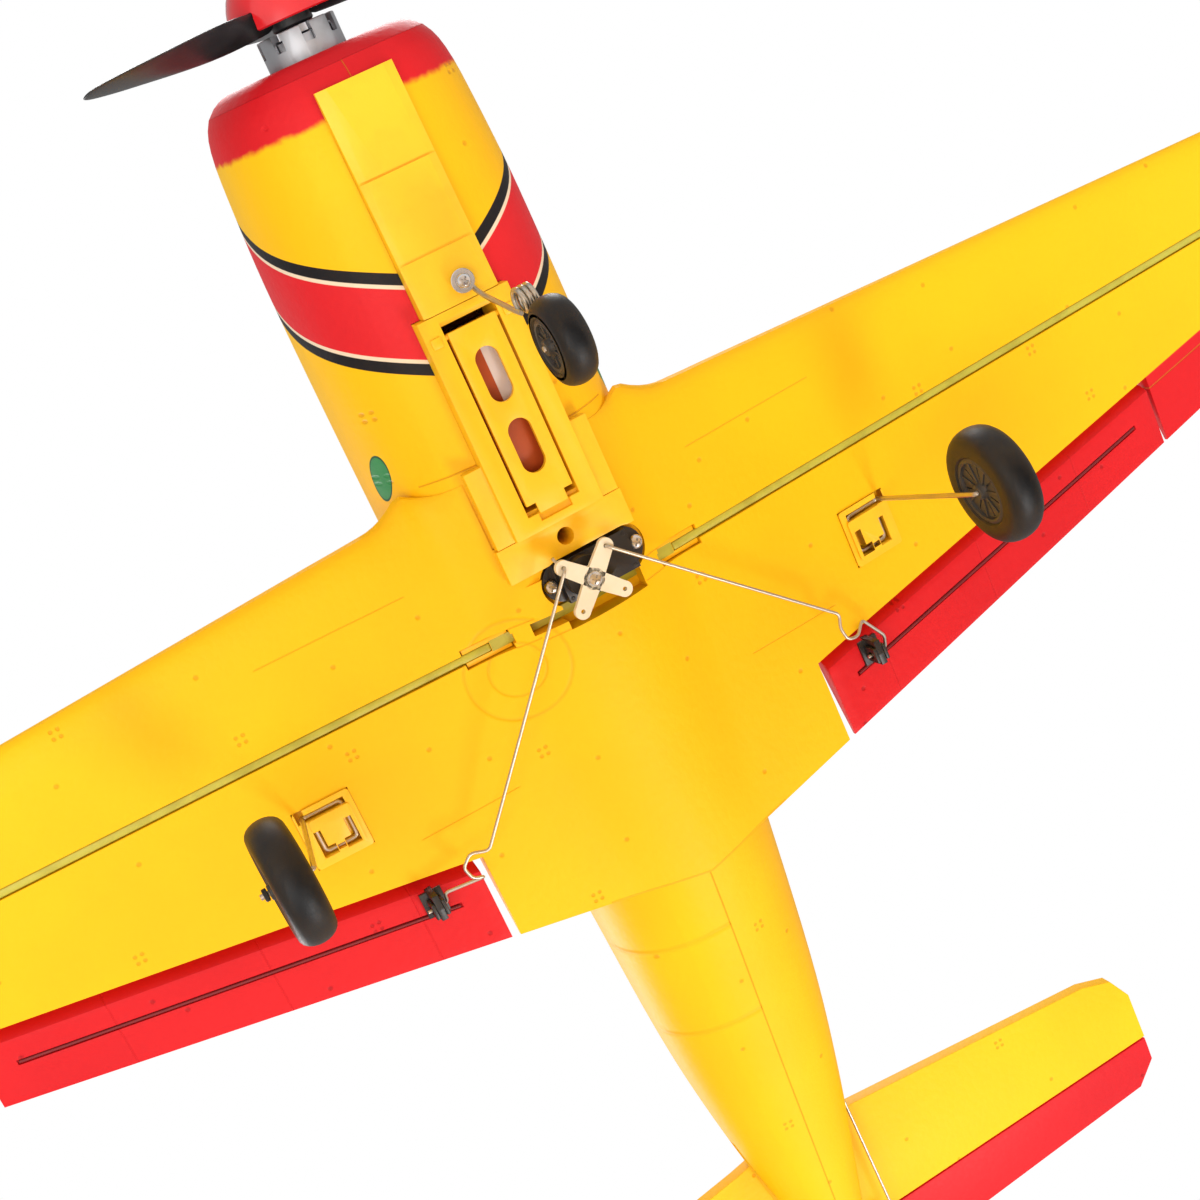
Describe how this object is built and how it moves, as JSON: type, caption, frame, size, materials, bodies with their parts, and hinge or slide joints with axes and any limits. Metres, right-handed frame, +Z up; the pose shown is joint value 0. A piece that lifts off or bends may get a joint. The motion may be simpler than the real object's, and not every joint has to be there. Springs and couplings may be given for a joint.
{
  "type": "radio control aeroplane",
  "caption": "Low-wing foam radio control aeroplane with a wire tricycle undercarriage, servo-driven ailerons, belly battery hatch, propeller, elevator and rudder.",
  "frame": {"origin": "on the ground under the middle of the overall box, with the aeroplane standing on its three wheels", "axes": "+X to the port wing tip, -Y to the nose, +Z up"},
  "size_m": [0.6, 0.5002, 0.1875],
  "materials": {
    "foam_yellow": "matte",
    "foam_red": "matte",
    "yellow_plastic": "satin",
    "red_plastic": "gloss",
    "black_plastic": "satin",
    "white_nylon": "satin",
    "steel_wire": "polished",
    "chrome_screws": "polished",
    "tyre_rubber": "matte",
    "wheel_hub": "satin",
    "spar_rod": "satin",
    "motor_metal": "satin",
    "propeller_plastic": "satin",
    "canopy_plastic": "gloss",
    "cockpit_plastic": "matte",
    "circuit_board": "satin",
    "battery_wrap": "satin",
    "mount_plastic": "matte"
  },
  "bodies": {
    "airframe": {"fuselage_left": "foam_yellow", "fuselage_right": "foam_yellow", "cowl_ring": "foam_red", "motor_mount": "mount_plastic", "mount_screws": "chrome_screws", "motor_base": "motor_metal", "speed_controller": "circuit_board", "receiver": "black_plastic", "battery_pack": "battery_wrap", "hatch_frame": "yellow_plastic", "belly_strip": "yellow_plastic", "nose_gear_screw": "chrome_screws", "nose_leg": "steel_wire", "gear_block_left": "yellow_plastic", "gear_block_right": "yellow_plastic", "main_leg_left": "steel_wire", "main_leg_right": "steel_wire", "wheel_collars": "black_plastic", "wing": "foam_yellow", "wing_bolt_plate": "yellow_plastic", "spar_left": "spar_rod", "spar_right": "spar_rod", "spar_joiner": "spar_rod", "aileron_servo": "black_plastic", "servo_screws": "chrome_screws", "cockpit_deck": "cockpit_plastic", "canopy": "canopy_plastic", "stabiliser": "foam_yellow", "fin": "foam_yellow", "elevator_servo": "black_plastic", "rudder_servo": "black_plastic"},
    "propeller": {"motor_bell": "motor_metal", "propeller": "propeller_plastic", "spinner": "red_plastic", "prop_nut": "chrome_screws"},
    "nose_wheel": {"nose_tyre": "tyre_rubber", "nose_hub": "wheel_hub"},
    "main_wheel_left": {"main_tyre_left": "tyre_rubber", "main_hub_left": "wheel_hub"},
    "main_wheel_right": {"main_tyre_right": "tyre_rubber", "main_hub_right": "wheel_hub"},
    "hatch": {"battery_hatch": "yellow_plastic"},
    "servo_horn": {"servo_horn": "white_nylon", "servo_horn_screw": "chrome_screws"},
    "pushrod_left": {"pushrod_left": "steel_wire"},
    "pushrod_right": {"pushrod_right": "steel_wire"},
    "aileron_left": {"aileron_left": "foam_red", "aileron_horn_left": "black_plastic"},
    "aileron_right": {"aileron_right": "foam_red", "aileron_horn_right": "black_plastic"},
    "elevator": {"elevator": "foam_red", "elevator_joiner": "steel_wire", "elevator_horn": "black_plastic"},
    "elevator_arm": {"elevator_servo_arm": "white_nylon"},
    "elevator_pushrod": {"elevator_pushrod": "steel_wire"},
    "rudder": {"rudder": "foam_red", "rudder_horn": "black_plastic"},
    "rudder_arm": {"rudder_servo_arm": "white_nylon"},
    "rudder_pushrod": {"rudder_pushrod": "steel_wire"}
  },
  "joints": [
    {"name": "propeller_spin", "type": "hinge", "parent": "airframe", "child": "propeller", "pos_m": [0, -0.2329, 0.0895], "axis": [0, 1, 0], "continuous": true},
    {"name": "nose_wheel_spin", "type": "hinge", "parent": "airframe", "child": "nose_wheel", "pos_m": [0.0108, -0.1317, 0.01225], "axis": [1, 0, 0], "continuous": true},
    {"name": "main_wheel_left_spin", "type": "hinge", "parent": "airframe", "child": "main_wheel_left", "pos_m": [0.1118, -0.0388, 0.01775], "axis": [1, 0, 0], "continuous": true},
    {"name": "main_wheel_right_spin", "type": "hinge", "parent": "airframe", "child": "main_wheel_right", "pos_m": [-0.1118, -0.0388, 0.01775], "axis": [1, 0, 0], "continuous": true},
    {"name": "hatch_hinge", "type": "hinge", "parent": "airframe", "child": "hatch", "pos_m": [0, -0.1401, 0.0491], "axis": [-1, 0, 0], "range_deg": [0, 55]},
    {"name": "aileron_left_hinge", "type": "hinge", "parent": "airframe", "child": "aileron_left", "pos_m": [0.0613, 0.00004, 0.07074], "axis": [0.9834, -0.1485, 0.1042], "range_deg": [-20, 20]},
    {"name": "aileron_right_hinge", "type": "hinge", "parent": "airframe", "child": "aileron_right", "pos_m": [-0.0613, 0.00004, 0.07074], "axis": [0.9834, 0.1485, -0.1042], "range_deg": [-20, 20]},
    {"name": "servo_horn_turn", "type": "hinge", "parent": "airframe", "child": "servo_horn", "pos_m": [0, -0.0637, 0.0425], "axis": [0, 0, 1], "range_deg": [-18, 18]},
    {"name": "pushrod_left_pivot", "type": "hinge", "parent": "servo_horn", "child": "pushrod_left", "pos_m": [0.00679, -0.07049, 0.0416], "axis": [-0.0542, -0.1924, -0.9798], "range_deg": [-17, 17]},
    {"name": "pushrod_right_pivot", "type": "hinge", "parent": "servo_horn", "child": "pushrod_right", "pos_m": [-0.00679, -0.07049, 0.0416], "axis": [0.0542, -0.1924, -0.9798], "range_deg": [-17, 17]},
    {"name": "elevator_hinge", "type": "hinge", "parent": "airframe", "child": "elevator", "pos_m": [0, 0.2111, 0.1105], "axis": [1, 0, 0], "range_deg": [-20, 20]},
    {"name": "elevator_arm_turn", "type": "hinge", "parent": "airframe", "child": "elevator_arm", "pos_m": [0.011, -0.0289, 0.1035], "axis": [0, 0, 1], "range_deg": [-20, 20]},
    {"name": "elevator_pushrod_pivot", "type": "hinge", "parent": "elevator", "child": "elevator_pushrod", "pos_m": [0.0176, 0.2111, 0.1009], "axis": [1, 0, 0], "range_deg": [-20, 20]},
    {"name": "rudder_hinge", "type": "hinge", "parent": "airframe", "child": "rudder", "pos_m": [0, 0.2281, 0.1165], "axis": [0, 0, 1], "range_deg": [-25, 25]},
    {"name": "rudder_arm_turn", "type": "hinge", "parent": "airframe", "child": "rudder_arm", "pos_m": [-0.011, -0.0289, 0.1035], "axis": [0, 0, 1], "range_deg": [-25, 25]},
    {"name": "rudder_pushrod_pivot", "type": "hinge", "parent": "rudder", "child": "rudder_pushrod", "pos_m": [-0.0096, 0.2281, 0.106], "axis": [0, 0, 1], "range_deg": [-25, 25]}
  ],
  "couplings": [
    {"joint": "aileron_right_hinge", "follows": "aileron_left_hinge", "ratio": -1},
    {"joint": "servo_horn_turn", "follows": "aileron_left_hinge", "ratio": 0.897},
    {"joint": "pushrod_left_pivot", "follows": "aileron_left_hinge", "ratio": 0.84693},
    {"joint": "pushrod_right_pivot", "follows": "aileron_left_hinge", "ratio": 0.84693},
    {"joint": "elevator_arm_turn", "follows": "elevator_hinge", "ratio": 1},
    {"joint": "elevator_pushrod_pivot", "follows": "elevator_hinge", "ratio": -1},
    {"joint": "rudder_arm_turn", "follows": "rudder_hinge", "ratio": 1},
    {"joint": "rudder_pushrod_pivot", "follows": "rudder_hinge", "ratio": -1}
  ]
}
